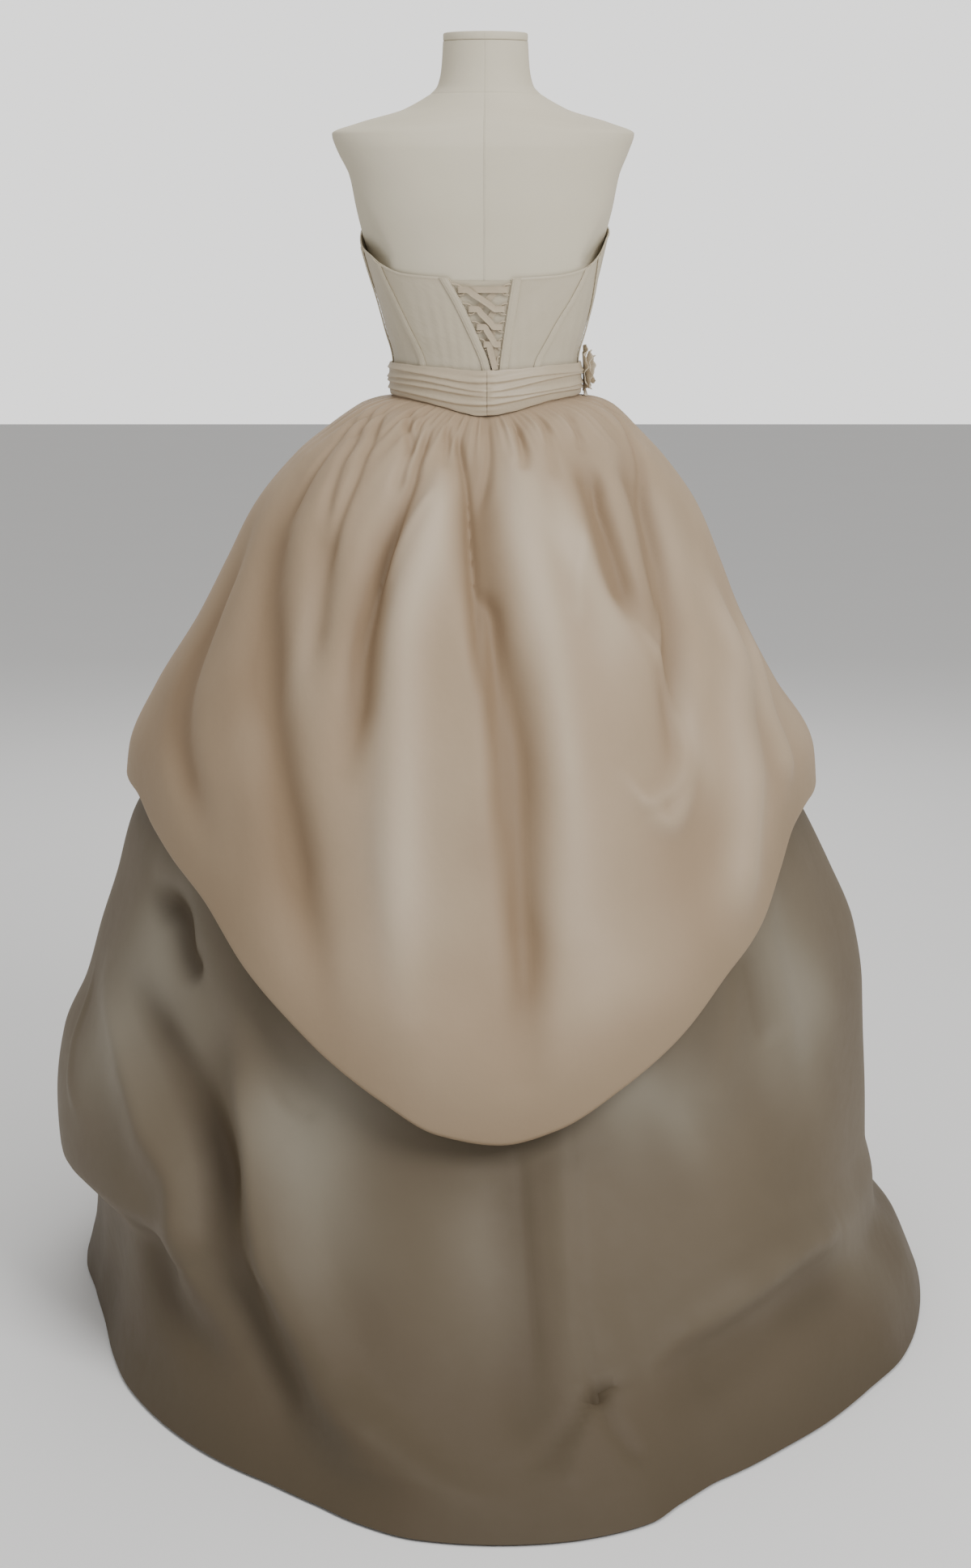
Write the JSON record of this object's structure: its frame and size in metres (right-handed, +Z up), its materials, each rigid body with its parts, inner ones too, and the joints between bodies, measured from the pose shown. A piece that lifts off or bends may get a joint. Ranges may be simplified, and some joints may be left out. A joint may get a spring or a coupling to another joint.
{
  "type": "corset dress on a dress form",
  "caption": "Strapless ball gown with a laced corset back, a pleated waist sash, a side rosette, a gathered overskirt and a sweep train, on a limbless dress form with its stand.",
  "frame": {"origin": "on the floor, at the centre of the underside of the dress form's round base", "axes": "+Z up along the form's pole, -Y out of the laced back of the dress, +X to the wearer's right, the side with the rosette"},
  "size_m": [1.1289, 1.3484, 1.58],
  "materials": {
    "form_cover": "plain cream cloth, matte",
    "stand_metal": "satin metal",
    "corset_satin": "ivory satin",
    "lacing_satin": "ivory satin ribbon",
    "sash_satin": "ivory satin, soft pleats",
    "rosette_organza": "soft organza, ruffled",
    "overskirt_organza": "champagne organza over satin, soft sheen",
    "skirt_satin": "champagne satin, soft sheen"
  },
  "bodies": {
    "root": {"channel_back_left": "corset_satin", "channel_back_right": "corset_satin", "channel_lacing_left": "corset_satin", "channel_lacing_right": "corset_satin", "channel_side_left": "corset_satin", "channel_side_right": "corset_satin", "corset_back_left": "corset_satin", "corset_back_right": "corset_satin", "corset_front": "corset_satin", "corset_side_back_left": "corset_satin", "corset_side_back_right": "corset_satin", "corset_side_front_left": "corset_satin", "corset_side_front_right": "corset_satin", "form_base": "stand_metal", "form_neck_cap": "form_cover", "form_pole": "stand_metal", "form_torso": "form_cover", "lacing_loop_left_1": "lacing_satin", "lacing_loop_left_2": "lacing_satin", "lacing_loop_left_3": "lacing_satin", "lacing_loop_left_4": "lacing_satin", "lacing_loop_left_5": "lacing_satin", "lacing_loop_right_1": "lacing_satin", "lacing_loop_right_2": "lacing_satin", "lacing_loop_right_3": "lacing_satin", "lacing_loop_right_4": "lacing_satin", "lacing_loop_right_5": "lacing_satin", "lacing_ribbon": "lacing_satin", "modesty_panel": "corset_satin", "overskirt_back": "overskirt_organza", "overskirt_front": "overskirt_organza", "rosette_bud": "rosette_organza", "rosette_inner_layer": "rosette_organza", "rosette_middle_layer": "rosette_organza", "rosette_outer_layer": "rosette_organza", "skirt_back": "skirt_satin", "skirt_front": "skirt_satin", "waist_sash": "sash_satin"}
  },
  "joints": []
}
